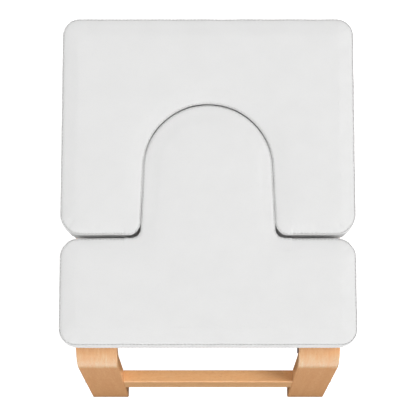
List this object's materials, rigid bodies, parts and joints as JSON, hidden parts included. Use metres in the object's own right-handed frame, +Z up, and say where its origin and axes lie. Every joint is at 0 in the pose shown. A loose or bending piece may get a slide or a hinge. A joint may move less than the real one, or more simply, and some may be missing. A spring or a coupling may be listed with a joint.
{
  "type": "padded headstand stool",
  "caption": "Low bentwood stool with a white U-shaped shoulder pad, open in front for the head, and a lift-off T-shaped insert pad that fills the opening.",
  "frame": {"origin": "on the floor, midway between the four feet", "axes": "+Z up, +Y towards the rear, away from the insert pad's straight front, +X towards the right-hand side frame seen from the front"},
  "size_m": [0.392, 0.5594, 0.392],
  "materials": {
    "bentwood": "satin",
    "solid_beech": "satin",
    "dowel_beech": "matte",
    "plywood": "matte",
    "leatherette": "satin",
    "foam": "matte",
    "dust_cloth": "matte",
    "webbing": "matte",
    "foot_rubber": "matte",
    "zinc_steel": "satin",
    "staple_wire": "satin"
  },
  "bodies": {
    "frame": {"right_side_frame": "bentwood", "left_side_frame": "bentwood", "front_stretcher": "solid_beech", "rear_stretcher": "solid_beech", "tongue_rest_slat": "solid_beech", "frame_dowels": "dowel_beech", "frame_bolts": "zinc_steel", "barrel_nuts": "zinc_steel", "foot_pad_front_right": "foot_rubber", "foot_pad_front_left": "foot_rubber", "foot_pad_rear_right": "foot_rubber", "foot_pad_rear_left": "foot_rubber", "foot_screws": "zinc_steel", "shoulder_pad_board": "plywood", "shoulder_pad_foam": "foam", "shoulder_pad_top_panel": "leatherette", "shoulder_pad_side_band": "leatherette", "shoulder_pad_dust_cover": "dust_cloth", "shoulder_pad_staples": "staple_wire", "shoulder_pad_bolts": "zinc_steel", "shoulder_pad_washers": "zinc_steel", "shoulder_pad_tee_nuts": "zinc_steel"},
    "insert": {"insert_pad_board": "plywood", "insert_pad_foam": "foam", "insert_pad_top_panel": "leatherette", "insert_pad_side_band": "leatherette", "insert_pad_dust_cover": "dust_cloth", "insert_pad_staples": "staple_wire", "insert_pad_pegs": "dowel_beech", "insert_pad_pull_tab": "webbing"}
  },
  "joints": [
    {"name": "insert_lift", "type": "slide", "parent": "frame", "child": "insert", "axis": [0, 0, 1], "range_m": [0, 0.1]}
  ]
}
